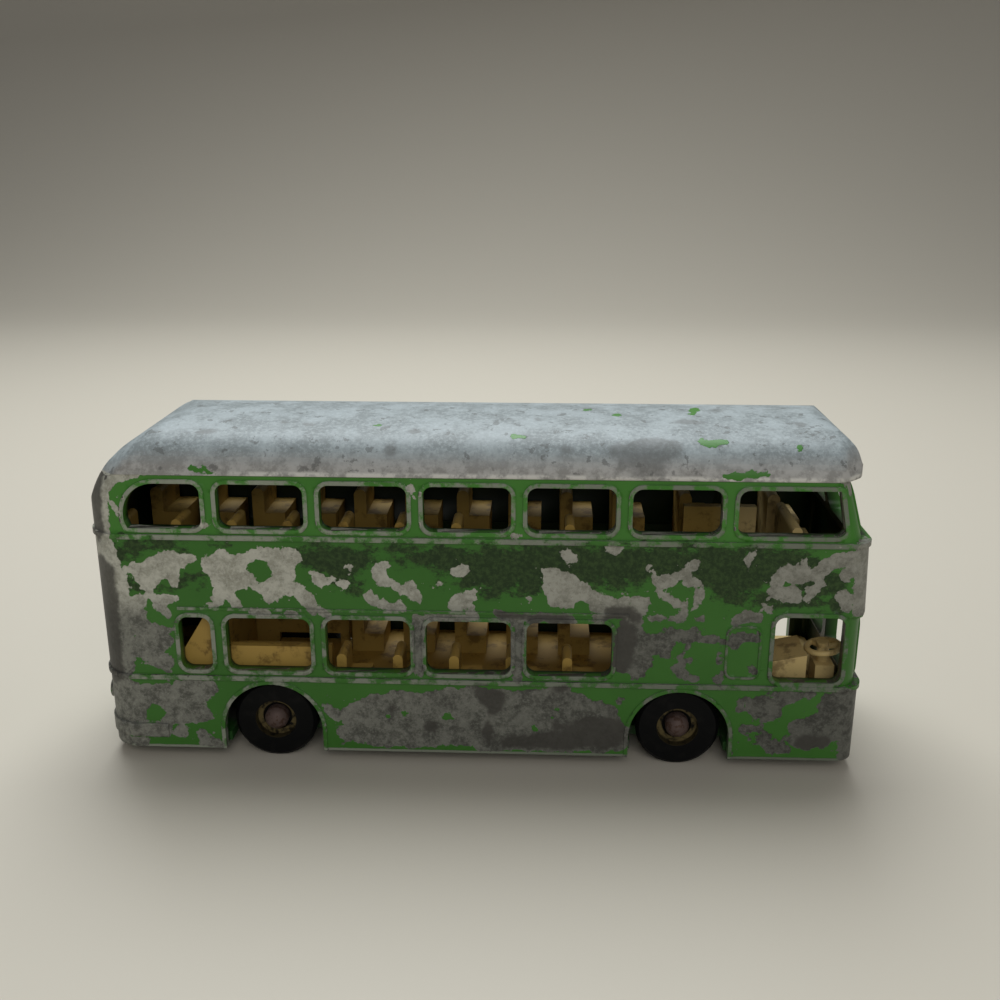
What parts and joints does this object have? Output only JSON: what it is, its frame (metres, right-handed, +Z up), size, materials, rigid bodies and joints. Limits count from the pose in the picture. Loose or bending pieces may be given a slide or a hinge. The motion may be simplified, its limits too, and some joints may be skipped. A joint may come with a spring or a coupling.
{
  "type": "toy double-deck bus",
  "caption": "Pocket-size die-cast double-deck toy bus with open windows, a moulded interior on both decks, and plastic wheels that turn on headed steel axles.",
  "frame": {"origin": "on the ground under the middle of the bus, between its wheels", "axes": "+X towards the front of the bus, +Y towards its left side with the doorway, +Z up"},
  "size_m": [0.077, 0.0204, 0.0351],
  "materials": {
    "body_paint": "chipped green enamel over grey cast zinc",
    "base_paint": "worn green enamel over grey cast zinc",
    "deck_plastic": "cream plastic, yellowed and dirty",
    "axle_steel": "rusty steel wire",
    "wheel_plastic": "black plastic, satin"
  },
  "bodies": {
    "bus": {"body_shell": "body_paint", "base_plate": "base_paint", "lower_deck": "deck_plastic", "upper_deck": "deck_plastic"},
    "front_axle_body": {"front_axle": "axle_steel"},
    "rear_axle_body": {"rear_axle": "axle_steel"},
    "front_right_wheel": {"wheel_front_right": "wheel_plastic"},
    "front_left_wheel": {"wheel_front_left": "wheel_plastic"},
    "rear_right_wheel": {"wheel_rear_right": "wheel_plastic"},
    "rear_left_wheel": {"wheel_rear_left": "wheel_plastic"}
  },
  "joints": [
    {"name": "front_axle_spin", "type": "hinge", "parent": "bus", "child": "front_axle_body", "pos_m": [0.02045, 0, 0.00425], "axis": [0, 1, 0], "continuous": true},
    {"name": "rear_axle_spin", "type": "hinge", "parent": "bus", "child": "rear_axle_body", "pos_m": [-0.0208, 0, 0.00425], "axis": [0, 1, 0], "continuous": true},
    {"name": "front_right_wheel_spin", "type": "hinge", "parent": "front_axle_body", "child": "front_right_wheel", "pos_m": [0.02045, -0.0076, 0.00425], "axis": [0, 1, 0], "continuous": true},
    {"name": "front_left_wheel_spin", "type": "hinge", "parent": "front_axle_body", "child": "front_left_wheel", "pos_m": [0.02045, 0.0076, 0.00425], "axis": [0, 1, 0], "continuous": true},
    {"name": "rear_right_wheel_spin", "type": "hinge", "parent": "rear_axle_body", "child": "rear_right_wheel", "pos_m": [-0.0208, -0.0076, 0.00425], "axis": [0, 1, 0], "continuous": true},
    {"name": "rear_left_wheel_spin", "type": "hinge", "parent": "rear_axle_body", "child": "rear_left_wheel", "pos_m": [-0.0208, 0.0076, 0.00425], "axis": [0, 1, 0], "continuous": true}
  ]
}
